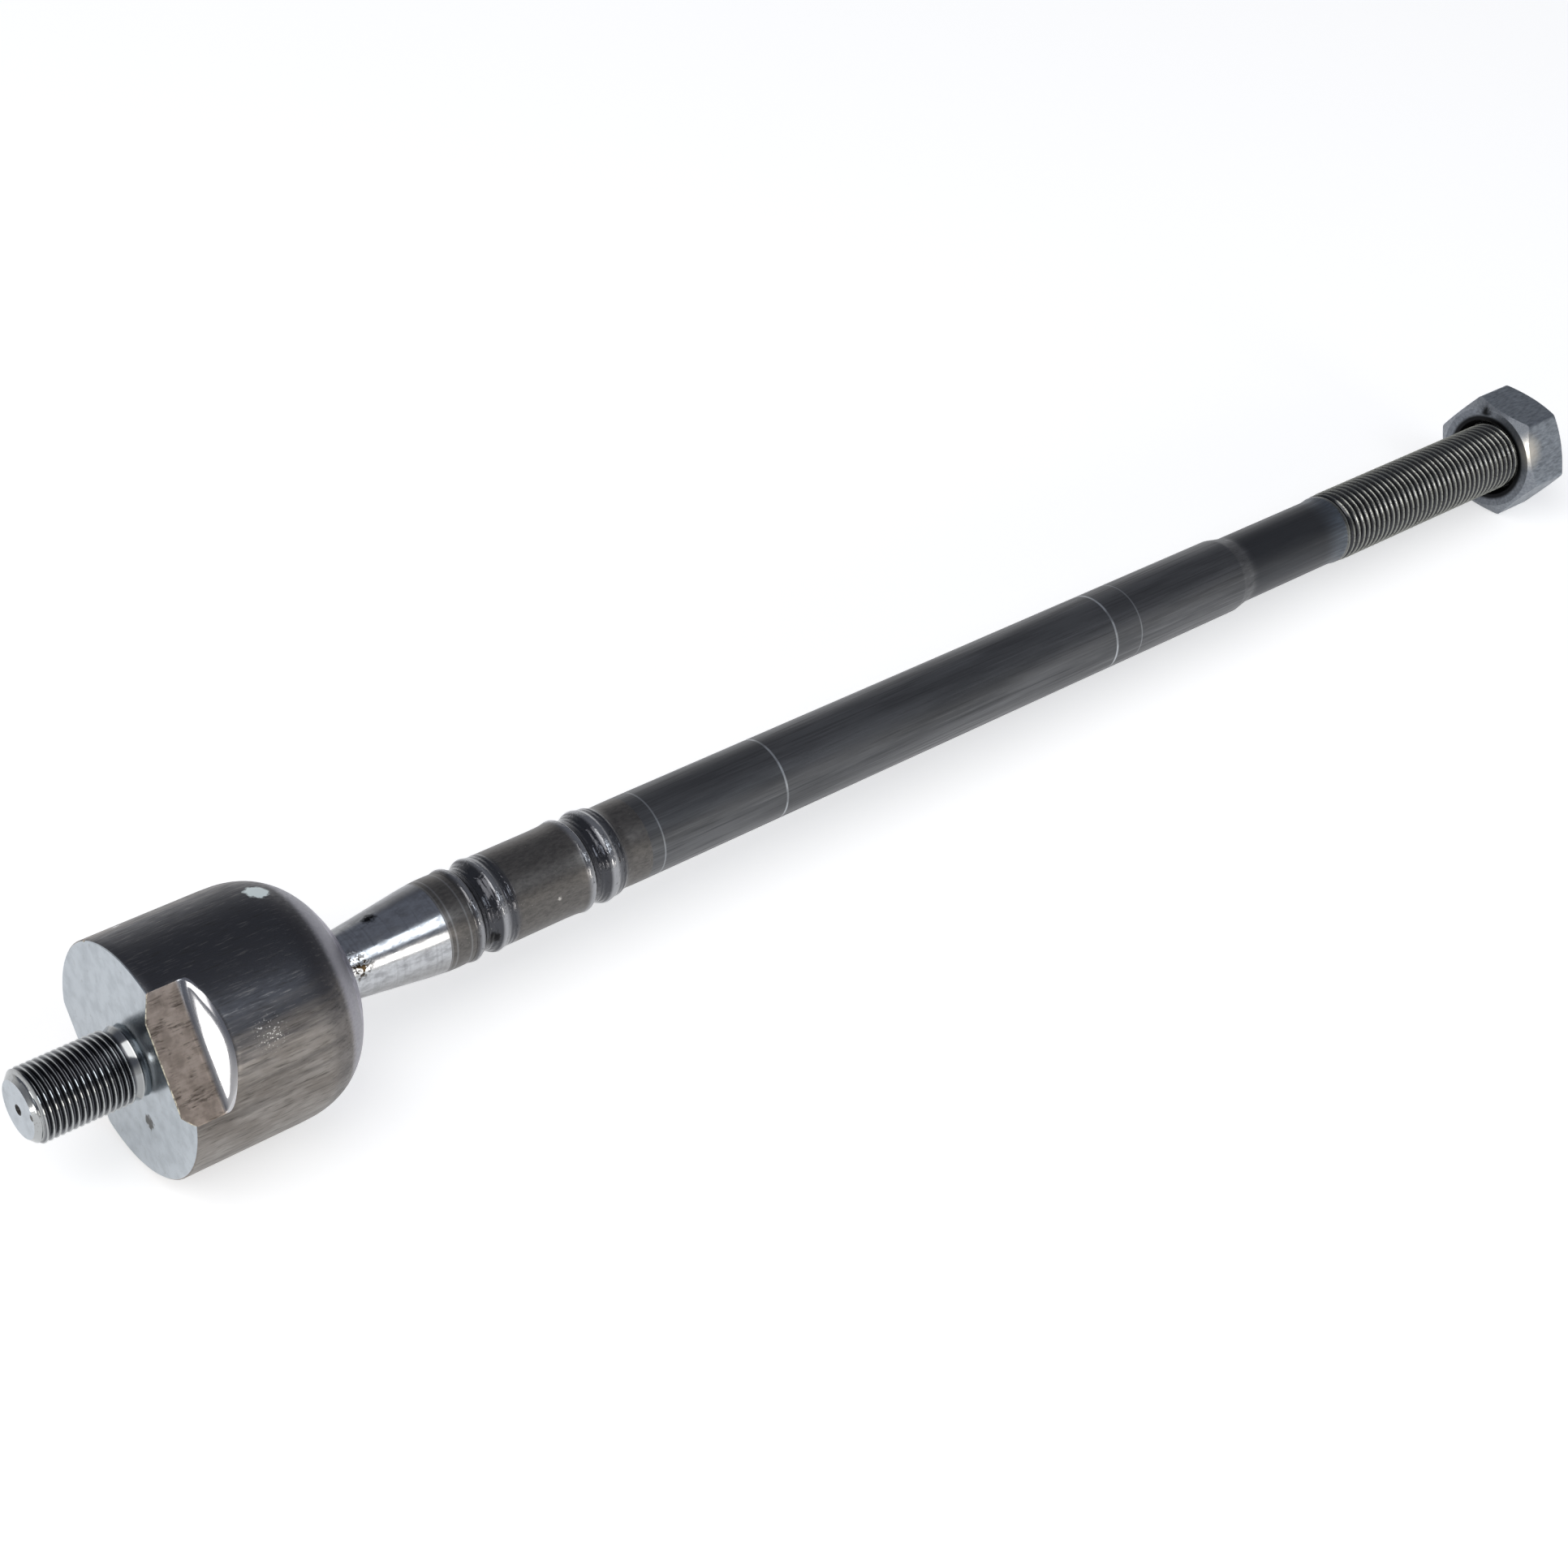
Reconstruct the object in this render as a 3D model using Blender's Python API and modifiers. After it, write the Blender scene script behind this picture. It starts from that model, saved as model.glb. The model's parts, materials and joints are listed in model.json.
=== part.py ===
"""Inner tie rod of a rack and pinion steering.

A forged cup with a threaded stud holds the ball of a long rod between two plastic seats, which a
disc spring loads from behind. The cup's rim is rolled over the front seat. A hexagon lock nut runs
on the rod's outer thread. Threads are plain here, at their outer diameter.

Metres, +Z up. +X runs from the stud to the nut. The part lies on the floor z = 0 as it comes to
rest, on the round of its cup and a flat of its nut, so its axis slopes a little down to the nut.
Every piece is turned about its own Z, and one tilted empty lays them all along the axis. Places
along the axis are measured from the cup's flat end face.
"""

import math

import bmesh
import bpy

MM = 0.001

# The ball, its two seats and the spring behind them
BALL_RADIUS = 12.5 * MM
BALL_FLAT_RADIUS = 4.0 * MM
SEAT_GAP = 0.3 * MM
SEAT_WALL = 1.2 * MM
SEAT_FLOOR = 1.5 * MM
SEAT_HOLE_RADIUS = 5.0 * MM
SEAT_MOUTH_ANGLE = math.radians(55.0)
SPRING_THICKNESS = 0.8 * MM
SPRING_CONE = 0.5 * MM
SPRING_CLEARANCE = 1.1 * MM
SPRING_INNER_RADIUS = 7.5 * MM

# The forged cup round them, whose rim is rolled over the front seat
CUP_FLOOR = 6.5 * MM
CUP_WALL = 4.7 * MM
FACE_CHAMFER = 0.3 * MM
RIM_START_BEHIND_BALL = 2.7 * MM
RIM_END_BELOW_BALL = 0.2 * MM
RIM_POWER = 2.5
RIM_OVERHANG = 1.0 * MM

# The two milled wrench flats beside the end face
FLATS_ACROSS = 32.0 * MM
FLAT_LENGTH = 4.6 * MM
FLAT_RUNOUT = 3.3 * MM
FLAT_TURN = math.radians(41.3)

# The rack stud, M12 x 1
STUD_RADIUS = 5.93 * MM
STUD_LENGTH = 17.75 * MM
STUD_CHAMFER = 1.25 * MM
RELIEF_RADIUS = 5.3 * MM
RELIEF_LENGTH = 1.6 * MM
RELIEF_FILLET = 0.3 * MM
CENTRE_HOLE_RADIUS = 0.75 * MM
CENTRE_HOLE_DEPTH = 1.0 * MM

# The rod's neck, which widens from the ball to the boot's seat
NECK_ROOT_RADIUS = 5.25 * MM
NECK_FILLET = 1.2 * MM
NECK_TOP = 52.0 * MM
NECK_TOP_RADIUS = 7.45 * MM
NECK_SHOULDER = 3.0 * MM

# The boot's seat: a plain band between two pairs of rolled beads
BAND_RADIUS = 7.66 * MM
BEAD_HEIGHT = 0.27 * MM
WIDE_BEAD_HEIGHT = 0.34 * MM
BEAD_WIDTH = 2.6 * MM
WIDE_BEAD_WIDTH = 3.4 * MM
GROOVE_DEPTH = 0.62 * MM
GROOVE_WIDTH = 1.5 * MM
FIRST_GROOVE = 60.2 * MM
SECOND_GROOVE = 82.0 * MM
END_BEAD_HEIGHT = 0.06 * MM
END_BEAD_REACH = 4.3 * MM
BAND_STEP = 1.6 * MM

# The drawn rod, its reduced end and the outer thread, M14 x 1.5
ROD_RADIUS = 7.2 * MM
ROD_END = 235.8 * MM
STEP_LENGTH = 3.6 * MM
BLANK_RADIUS = 6.53 * MM
THREAD_START = 268.5 * MM
THREAD_RUNOUT = 3.6 * MM
THREAD_RADIUS = 6.95 * MM
THREAD_CHAMFER = 1.3 * MM
THREAD_BEYOND_NUT = 1.0 * MM

# The lock nut
NUT_START = 318.3 * MM
NUT_HEIGHT = 11.0 * MM
NUT_WALL = 4.05 * MM
NUT_CHAMFER_SHARE = 0.95
NUT_CHAMFER_ANGLE = math.radians(30.0)
NUT_BORE_GAP = 0.3 * MM
NUT_COUNTERSINK = 1.3 * MM

# Fineness of the round shapes
CUP_STEPS = 64
ROD_STEPS = 48
SEAT_STEPS = 40
DOME_POINTS = 9
BALL_POINTS = 10
SEAT_POINTS = 6
BEAD_POINTS = 5
RUNOUT_SEGMENTS = 5

# Worked out from the sizes above
SPRING_HEIGHT = SPRING_THICKNESS + SPRING_CONE
SEAT_BACK = CUP_FLOOR + SEAT_GAP + SPRING_HEIGHT + SEAT_GAP
BALL_CENTRE = SEAT_BACK + SEAT_FLOOR + SEAT_GAP + BALL_RADIUS
SEAT_INNER_RADIUS = BALL_RADIUS + SEAT_GAP
SEAT_OUTER_RADIUS = SEAT_INNER_RADIUS + SEAT_WALL
CAVITY_RADIUS = SEAT_OUTER_RADIUS + SEAT_GAP
SPRING_OUTER_RADIUS = CAVITY_RADIUS - SPRING_CLEARANCE
CUP_RADIUS = CAVITY_RADIUS + CUP_WALL
MOUTH_RADIUS = BALL_RADIUS - RIM_OVERHANG
RIM_START = BALL_CENTRE - RIM_START_BEHIND_BALL
RIM_REACH = RIM_START_BEHIND_BALL + BALL_RADIUS - RIM_END_BELOW_BALL
NUT_ACROSS = 2 * (THREAD_RADIUS + NUT_WALL)
NUT_END = NUT_START + NUT_HEIGHT
ROD_TIP = NUT_END + THREAD_BEYOND_NUT
NUT_CHAMFER_RADIUS = NUT_CHAMFER_SHARE * NUT_ACROSS / 2


def arc(radius, centre, first, last, points):
    """Points (radius, height) on a circle about the axis point `centre`, by angle from the axis."""
    turns = [first + (last - first) * i / (points - 1) for i in range(points)]
    return [(radius * math.sin(a), centre + radius * math.cos(a)) for a in turns]


def dome(points):
    """The cup's rolled outside, from its mouth to its straight wall: a superellipse."""
    mouth = math.asin((MOUTH_RADIUS / CUP_RADIUS) ** (RIM_POWER / 2))
    turns = [mouth + (math.pi / 2 - mouth) * i / (points - 1) for i in range(points)]
    share = 2 / RIM_POWER
    return [
        (CUP_RADIUS * math.sin(a) ** share, RIM_START + RIM_REACH * max(math.cos(a), 0.0) ** share)
        for a in turns
    ]


def bead(middle, width, height, points):
    """A rolled bead on the band, higher place first: one wave of a raised cosine."""
    half = width / 2
    steps = [1 - 2 * i / (points - 1) for i in range(points)]
    return [
        (BAND_RADIUS + height * (1 + math.cos(math.pi * s)) / 2, middle + half * s) for s in steps
    ]


def boot_groove(middle):
    """The groove that takes the boot's lip, with the wide bead above it and the narrow one below."""
    edge = GROOVE_WIDTH / 2
    floor = BAND_RADIUS - GROOVE_DEPTH
    wide = bead(middle + edge + WIDE_BEAD_WIDTH / 2, WIDE_BEAD_WIDTH, WIDE_BEAD_HEIGHT, BEAD_POINTS)
    narrow = bead(middle - edge - BEAD_WIDTH / 2, BEAD_WIDTH, BEAD_HEIGHT, BEAD_POINTS)
    return wide + [(floor, middle + edge / 2), (floor, middle - edge / 2)] + narrow


def cup_outline():
    """The cup and its stud, from the cavity's floor over the mouth and down to the stud's end."""
    mouth_angle = math.asin(MOUTH_RADIUS / CAVITY_RADIUS)
    cavity = arc(CAVITY_RADIUS, BALL_CENTRE, math.pi / 2, mouth_angle, SEAT_POINTS)
    return [
        (0.0, CUP_FLOOR),
        (CAVITY_RADIUS, CUP_FLOOR),
        *cavity,
        *dome(DOME_POINTS),
        (CUP_RADIUS, FACE_CHAMFER),
        (CUP_RADIUS - FACE_CHAMFER, 0.0),
        (RELIEF_RADIUS + RELIEF_FILLET, 0.0),
        (RELIEF_RADIUS, -RELIEF_FILLET),
        (RELIEF_RADIUS, -RELIEF_LENGTH),
        (STUD_RADIUS, -RELIEF_LENGTH - (STUD_RADIUS - RELIEF_RADIUS)),
        (STUD_RADIUS, STUD_CHAMFER - STUD_LENGTH),
        (STUD_RADIUS - STUD_CHAMFER, -STUD_LENGTH),
        (CENTRE_HOLE_RADIUS, -STUD_LENGTH),
        (0.0, CENTRE_HOLE_DEPTH - STUD_LENGTH),
    ]


def rod_outline():
    """The rod from its outer end down to the ball, with places measured from the ball's centre."""
    shape = [
        (0.0, ROD_TIP),
        (THREAD_RADIUS - THREAD_CHAMFER, ROD_TIP),
        (THREAD_RADIUS, ROD_TIP - THREAD_CHAMFER),
        (THREAD_RADIUS, THREAD_START),
        (BLANK_RADIUS, THREAD_START - THREAD_RUNOUT),
        (BLANK_RADIUS, ROD_END + STEP_LENGTH),
        (ROD_RADIUS, ROD_END),
        (ROD_RADIUS, SECOND_GROOVE + END_BEAD_REACH + BAND_STEP),
        (BAND_RADIUS + END_BEAD_HEIGHT, SECOND_GROOVE + END_BEAD_REACH),
        *boot_groove(SECOND_GROOVE),
        *boot_groove(FIRST_GROOVE),
        (BAND_RADIUS, NECK_TOP + NECK_SHOULDER),
        (NECK_TOP_RADIUS, NECK_TOP),
    ]
    root_angle = math.asin((NECK_ROOT_RADIUS + NECK_FILLET) / BALL_RADIUS)
    root_height = BALL_CENTRE + BALL_RADIUS * math.cos(root_angle)
    shape.append((NECK_ROOT_RADIUS + 0.1 * NECK_FILLET, root_height + NECK_FILLET))
    rear_angle = math.pi - math.asin(BALL_FLAT_RADIUS / BALL_RADIUS)
    shape += arc(BALL_RADIUS, BALL_CENTRE, root_angle, rear_angle, BALL_POINTS)
    shape.append((0.0, shape[-1][1]))
    return [(radius, height - BALL_CENTRE) for radius, height in shape]


def rear_seat_outline():
    """The seat behind the ball, round to its outside, with places measured from its back face."""
    centre = BALL_CENTRE - SEAT_BACK
    hole_angle = math.pi - math.asin(SEAT_HOLE_RADIUS / SEAT_INNER_RADIUS)
    equator = math.acos(-SEAT_GAP / 2 / SEAT_INNER_RADIUS)
    bowl = arc(SEAT_INNER_RADIUS, centre, hole_angle, equator, SEAT_POINTS)
    rim = centre - SEAT_GAP / 2
    return [(SEAT_HOLE_RADIUS, 0.0), *bowl, (SEAT_OUTER_RADIUS, rim), (SEAT_OUTER_RADIUS, 0.0)]


def front_seat_outline():
    """The seat that the rolled rim holds down, with places measured from the ball's centre."""
    equator = math.acos(SEAT_GAP / 2 / SEAT_INNER_RADIUS)
    bowl = arc(SEAT_INNER_RADIUS, 0.0, equator, SEAT_MOUTH_ANGLE, SEAT_POINTS)
    outside = arc(SEAT_OUTER_RADIUS, 0.0, SEAT_MOUTH_ANGLE, equator, SEAT_POINTS)
    return bowl + outside


def spring_outline():
    """A conical disc spring standing on its outer edge."""
    return [
        (SPRING_INNER_RADIUS, SPRING_CONE),
        (SPRING_INNER_RADIUS, SPRING_HEIGHT),
        (SPRING_OUTER_RADIUS, SPRING_THICKNESS),
        (SPRING_OUTER_RADIUS, 0.0),
    ]


def nut_outline():
    """The nut before its hexagon is cut: bore, countersinks and the chamfers of both faces."""
    bore = THREAD_RADIUS + NUT_BORE_GAP
    corner = NUT_ACROSS / math.sqrt(3) + MM
    chamfer = (corner - NUT_CHAMFER_RADIUS) * math.tan(NUT_CHAMFER_ANGLE)
    return [
        (bore, NUT_COUNTERSINK),
        (bore, NUT_HEIGHT - NUT_COUNTERSINK),
        (bore + NUT_COUNTERSINK, NUT_HEIGHT),
        (NUT_CHAMFER_RADIUS, NUT_HEIGHT),
        (corner, NUT_HEIGHT - chamfer),
        (corner, chamfer),
        (NUT_CHAMFER_RADIUS, 0.0),
        (bore + NUT_COUNTERSINK, 0.0),
    ]


def rest_slope():
    """The slope at which the cup's round and the nut's lower flat both touch the floor."""
    setback = (NUT_ACROSS / 2 - NUT_CHAMFER_RADIUS) * math.tan(NUT_CHAMFER_ANGLE)
    low, high = -0.5, 0.5
    for _ in range(50):
        slope = (low + high) / 2
        nut = (NUT_END - setback) * math.sin(slope) + NUT_ACROSS / 2 * math.cos(slope)
        low, high = (slope, high) if nut < cup_reach(slope) else (low, slope)
    return slope


def cup_reach(slope):
    """How far the cup reaches below the axis point at its end face."""
    return max(z * math.sin(slope) + r * math.cos(slope) for r, z in dome(DOME_POINTS))


def clear_scene():
    for old in list(bpy.data.objects):
        bpy.data.objects.remove(old, do_unlink=True)


def new_collection(name):
    made = bpy.data.collections.new(name)
    bpy.context.scene.collection.children.link(made)
    return made


def material(name, colour, roughness, metallic):
    made = bpy.data.materials.new(name)
    made.use_nodes = True
    shader = made.node_tree.nodes["Principled BSDF"]
    shader.inputs["Base Color"].default_value = (*colour, 1.0)
    shader.inputs["Roughness"].default_value = roughness
    shader.inputs["Metallic"].default_value = metallic
    made.diffuse_color = (*colour, 1.0)
    return made


def turned(name, outline, steps, closed=False):
    """An object whose outline, (radius, height) points, is turned about its own Z."""
    count = len(outline)
    edges = [(i, (i + 1) % count) for i in range(count if closed else count - 1)]
    mesh = bpy.data.meshes.new(name)
    mesh.from_pydata([(radius, 0.0, height) for radius, height in outline], edges, [])
    piece = bpy.data.objects.new(name, mesh)
    screw = piece.modifiers.new("Turned", "SCREW")
    screw.axis = "Z"
    screw.angle = math.tau
    screw.steps = screw.render_steps = steps
    screw.use_merge_vertices = True
    screw.merge_threshold = 0.001 * MM
    return piece


def cut(piece, cutter, operation="DIFFERENCE"):
    boolean = piece.modifiers.new(cutter.name, "BOOLEAN")
    boolean.operation = operation
    boolean.object = cutter


def place(piece, collection, parent, along, look=None):
    """Puts a piece on the shared axis, `along` from the cup's end face."""
    collection.objects.link(piece)
    piece.parent = parent
    piece.location = (0.0, 0.0, along)
    if look:
        piece.data.materials.append(look)


def as_helper(piece):
    piece.hide_render = True
    piece.display_type = "WIRE"


def flat_cutter(name, turn):
    """The milling cutter's path for one wrench flat: a block with its inner lower edge rounded."""
    reach = FLAT_LENGTH + FLAT_RUNOUT
    depth = CUP_RADIUS
    block = bmesh.new()
    bmesh.ops.create_cube(block, size=1.0)
    for vert in block.verts:
        vert.co.x = FLATS_ACROSS / 2 + (vert.co.x + 0.5) * depth
        vert.co.y *= 2 * CUP_RADIUS
        vert.co.z = reach if vert.co.z > 0 else -FLAT_RUNOUT
    inner = [
        edge
        for edge in block.edges
        if all(v.co.x < FLATS_ACROSS / 2 + MM and v.co.z > 0 for v in edge.verts)
    ]
    bmesh.ops.bevel(
        block, geom=inner, offset=FLAT_RUNOUT, segments=RUNOUT_SEGMENTS, profile=0.5, affect="EDGES"
    )
    mesh = bpy.data.meshes.new(name)
    block.to_mesh(mesh)
    block.free()
    cutter = bpy.data.objects.new(name, mesh)
    cutter.rotation_euler = (0.0, 0.0, turn)
    return cutter


def hexagon(name):
    """A six-sided bar a little longer than the nut, with one side facing the floor."""
    bar = bmesh.new()
    radius = NUT_ACROSS / math.sqrt(3)
    depth = NUT_HEIGHT + 2 * MM
    bmesh.ops.create_cone(bar, cap_ends=True, segments=6, radius1=radius, radius2=radius, depth=depth)
    bmesh.ops.translate(bar, verts=bar.verts, vec=(0.0, 0.0, NUT_HEIGHT / 2))
    first = min(math.atan2(v.co.y, v.co.x) % (math.pi / 3) for v in bar.verts)
    mesh = bpy.data.meshes.new(name)
    bar.to_mesh(mesh)
    bar.free()
    made = bpy.data.objects.new(name, mesh)
    made.rotation_euler = (0.0, 0.0, math.pi / 6 - first)
    return made


def freeze(piece, sharp_angle=math.radians(28.0)):
    """Replaces a piece's mesh with its evaluated one, shaded smooth with crisp edges."""
    bpy.context.view_layer.update()
    graph = bpy.context.evaluated_depsgraph_get()
    mesh = bpy.data.meshes.new_from_object(piece.evaluated_get(graph))
    piece.modifiers.clear()
    piece.data = mesh
    mesh.shade_smooth()
    mesh.set_sharp_from_angle(angle=sharp_angle)


def axis_empty(collection, slope):
    """The empty that carries every piece: its Z is the part's axis, sloping down to the nut."""
    made = bpy.data.objects.new("part_axis", None)
    made.empty_display_size = CUP_RADIUS
    collection.objects.link(made)
    made.rotation_euler = (0.0, math.pi / 2 + slope, 0.0)
    stud_rim = STUD_RADIUS - STUD_CHAMFER
    rod_rim = THREAD_RADIUS - THREAD_CHAMFER
    nearest = -STUD_LENGTH * math.cos(slope) - stud_rim * math.sin(slope)
    farthest = ROD_TIP * math.cos(slope) + rod_rim * math.sin(slope)
    made.location = (-(nearest + farthest) / 2, 0.0, cup_reach(slope))
    return made


def build():
    clear_scene()
    parts = new_collection("inner_tie_rod")
    cutters = new_collection("cutters")
    forged = material("phosphated_forging", (0.115, 0.110, 0.108), 0.42, 1.0)
    drawn = material("drawn_bar", (0.060, 0.062, 0.066), 0.36, 1.0)
    plated = material("plain_nut_steel", (0.200, 0.215, 0.235), 0.40, 1.0)
    acetal = material("acetal_seat", (0.72, 0.70, 0.64), 0.45, 0.0)
    spring_steel = material("spring_steel", (0.25, 0.25, 0.26), 0.35, 1.0)
    axis = axis_empty(parts, rest_slope())

    housing = turned("housing", cup_outline(), CUP_STEPS)
    place(housing, parts, axis, 0.0, forged)
    near_turn = math.pi + (math.pi / 2 - FLAT_TURN)
    for name, turn in (("near_flat_cutter", near_turn), ("far_flat_cutter", near_turn - math.pi)):
        cutter = flat_cutter(name, turn)
        place(cutter, cutters, axis, 0.0)
        as_helper(cutter)
        cut(housing, cutter)

    tie_rod = turned("tie_rod", rod_outline(), ROD_STEPS)
    place(tie_rod, parts, axis, BALL_CENTRE, drawn)

    rear_seat = turned("rear_ball_seat", rear_seat_outline(), SEAT_STEPS, closed=True)
    place(rear_seat, parts, axis, SEAT_BACK, acetal)
    front_seat = turned("front_ball_seat", front_seat_outline(), SEAT_STEPS, closed=True)
    place(front_seat, parts, axis, BALL_CENTRE, acetal)
    spring = turned("disc_spring", spring_outline(), SEAT_STEPS, closed=True)
    place(spring, parts, axis, CUP_FLOOR + SEAT_GAP, spring_steel)

    lock_nut = turned("lock_nut", nut_outline(), ROD_STEPS, closed=True)
    place(lock_nut, parts, tie_rod, NUT_START - BALL_CENTRE, plated)
    bar = hexagon("nut_hexagon")
    place(bar, cutters, lock_nut, 0.0)
    as_helper(bar)
    cut(lock_nut, bar, "INTERSECT")

    for piece in (housing, tie_rod, rear_seat, front_seat, spring, lock_nut):
        freeze(piece)


build()
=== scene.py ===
"""The looks of an inner tie rod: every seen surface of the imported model, made fine and finished.

Metres, +Z up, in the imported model's own frame. Sizes in the sections are millimetres.
"""

import json
import math

import bmesh
import bpy
import numpy as np
from mathutils import Matrix, Vector


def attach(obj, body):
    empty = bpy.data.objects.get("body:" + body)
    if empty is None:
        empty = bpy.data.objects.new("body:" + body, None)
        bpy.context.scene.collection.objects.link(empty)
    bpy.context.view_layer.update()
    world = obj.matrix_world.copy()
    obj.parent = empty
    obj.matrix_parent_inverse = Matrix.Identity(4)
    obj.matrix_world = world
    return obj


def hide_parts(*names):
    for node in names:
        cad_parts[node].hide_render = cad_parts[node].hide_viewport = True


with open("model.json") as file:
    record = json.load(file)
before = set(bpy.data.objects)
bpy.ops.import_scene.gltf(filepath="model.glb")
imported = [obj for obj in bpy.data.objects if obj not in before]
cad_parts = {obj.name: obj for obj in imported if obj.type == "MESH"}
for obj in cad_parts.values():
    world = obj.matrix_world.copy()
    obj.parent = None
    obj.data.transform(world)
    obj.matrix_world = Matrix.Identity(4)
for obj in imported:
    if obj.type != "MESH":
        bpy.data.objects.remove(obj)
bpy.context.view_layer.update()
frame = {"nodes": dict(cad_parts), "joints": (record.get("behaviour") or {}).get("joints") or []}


# The cup: one steel forging with the rack stud in one piece, phosphated dark after forging. The end
# face, the stud and the two spanner flats are machined afterwards, and the rim is rolled over the
# ball's front seat, which leaves the steel there drawn smooth and paler.

CUP_RADIUS = 19.0
CUP_STRAIGHT = 20.0
DOME_REACH = 15.0
DOME_POWER = 2.5
MOUTH_RADIUS = 11.5
LIP_ROUND = 0.55
CAVITY_RADIUS = 14.3
CUP_FLOOR = 6.5
BALL_PLACE = 22.7
FACE_CHAMFER = 0.3
FLAT_DISTANCE = 16.0
FLAT_LENGTH = 4.2
FLAT_LONGER_TOP = 1.0
FLAT_LONGER_BOTTOM = 0.25
RUNOUT_HOLLOW = 1.6
RUNOUT_SLOPE = 0.95
FLAT_TURN = math.radians(41.3)
FLAT_LIP = 1.7
LIP_TOP = 3.9
LIP_BOTTOM = 2.0
LIP_THICK = 0.3
RUNOUT_ROOM = 5.2  # from the flat's middle end to where the wall is plain all round
CREASE_ROUND = 0.9
CREASE_GROWTH = 2.5  # the crease's rounding is full this far past the flat's end
CREASE_LEAST = 0.04  # share of the rounding along the flat's straight edges
RIM_ROWS = 8  # rows of the dome that the rolling tool rubbed
# The cup's top sector is toned darker: painted shade.
SHADED_TOP_TURN = math.radians(80)
SHADED_TOP_RAGGED = 9.0  # how far noise moves the dark top's border
FACE_RINGS = 0.22
STUD_RADIUS = 5.93
STUD_END = -17.75
STUD_CHAMFER = 1.3
STUD_CHAMFER_RISE = 1.05
STUD_RUNOUT_RISE = 3.0
STUD_PITCH = 1.0
THREAD_DEPTH = 0.6134  # share of the pitch, as in every metric thread
STUD_THREAD_END = -1.9
SHANK_RADIUS = 5.2
SHANK_FILLET = 0.7
SHANK_SUNK = 0.6  # how far the plain shank reaches into the thread's end
DRILL_RADIUS = 0.9
DRILL_DEPTH = 1.0

SKIN, FACE, FLAT, STUD, INSIDE, RIM, EDGE = range(7)
SMOOTH = {"interpolation_type": "SMOOTHSTEP"}

joints = {joint["name"]: joint for joint in frame["joints"]}
AXIS = np.array(joints["nut_turn"]["axis"])
SIDE = np.array([0.0, 1.0, 0.0])
RISE = np.cross(AXIS, SIDE)
CUP_FACE = np.array(joints["ball_swing"]["pos_m"]) - BALL_PLACE / 1000 * AXIS


def on_axis(along, radius, turn):
    """Points in metres: the cup's face plus along times the axis, plus radius times
    (-cos(turn) sideways + sin(turn) upwards), so that turn 0 faces the front."""
    across = -(radius * np.cos(turn))[..., None] * SIDE + (radius * np.sin(turn))[..., None] * RISE
    return CUP_FACE + (along[..., None] * AXIS + across) / 1000


def skin(name, patches, sharp=32.0):
    """One object from grids of points. Each patch is (along, radius, turn, finish): three arrays of
    one shape, rows along the profile and columns round the axis, and a finish number for each
    row of faces or for each face. Points that meet, at poles and seams, are made one."""
    points, faces, finishes, first = [], [], [], 0
    for along, radius, turn, finish in patches:
        rows, columns = along.shape
        points.append(on_axis(along, radius, turn).reshape(-1, 3))
        corner = first + np.arange(rows * columns).reshape(rows, columns)
        around = (corner[:-1, :-1], corner[1:, :-1], corner[1:, 1:], corner[:-1, 1:])
        faces.append(np.stack(around, axis=-1).reshape(-1, 4))
        finish = np.asarray(finish).reshape(rows - 1, -1)
        finishes.append(np.broadcast_to(finish, (rows - 1, columns - 1)).reshape(-1))
        first += rows * columns
    mesh = bpy.data.meshes.new(name)
    mesh.from_pydata(np.concatenate(points), [], np.concatenate(faces).tolist())
    mesh.polygons.foreach_set("material_index", np.concatenate(finishes).astype(np.int32))
    fine = bmesh.new()
    fine.from_mesh(mesh)
    bmesh.ops.remove_doubles(fine, verts=fine.verts, dist=2e-7)
    fine.to_mesh(mesh)
    fine.free()
    mesh.shade_smooth()
    mesh.set_sharp_from_angle(angle=math.radians(sharp))
    piece = bpy.data.objects.new(name, mesh)
    bpy.context.scene.collection.objects.link(piece)
    return piece


def thread_grid(start, end, pitch, crest, root, turns, start_cone, end_cone):
    """A right-hand thread as a grid whose rows follow the helix: along = start + pitch * (row's
    phase - turn / one turn), held between start and end. The radius is the flank profile of
    that phase, under a cone at each end: (radius at the end, rise per mm)."""
    phase = np.array([0.0, 0.12, 0.28, 0.4, 0.46, 0.54, 0.6, 0.72, 0.88])
    share = np.array([0.0, 0.06, 0.5, 0.88, 1.0, 1.0, 0.88, 0.5, 0.06])
    count = int((end - start) / pitch) + 3
    rows = (np.arange(-1, count)[:, None] + phase[None, :]).reshape(-1)
    height = np.tile(share, count + 1)
    drop = -turns / (2 * math.pi)
    along = start + pitch * (rows[:, None] + drop[None, :] + 1.0)
    radius = np.broadcast_to((root + (crest - root) * height)[:, None], along.shape)
    along = np.clip(along, start, end)
    radius = np.minimum(radius, start_cone[0] + start_cone[1] * (along - start))
    radius = np.minimum(radius, end_cone[0] + end_cone[1] * (end - along))
    return along, radius, np.broadcast_to(turns, along.shape)


def ringed(profile, turns):
    """A turned surface: each (along, radius) of the profile is carried round the axis."""
    along, radius = np.array(profile, float).T
    shape = (len(along), len(turns))
    return (
        np.broadcast_to(along[:, None], shape),
        np.broadcast_to(radius[:, None], shape),
        np.broadcast_to(turns, shape),
    )


def joined(*grids):
    """Several grids of (along, radius, turn) as one, row after row."""
    return [np.concatenate(values) for values in zip(*grids)]


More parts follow.
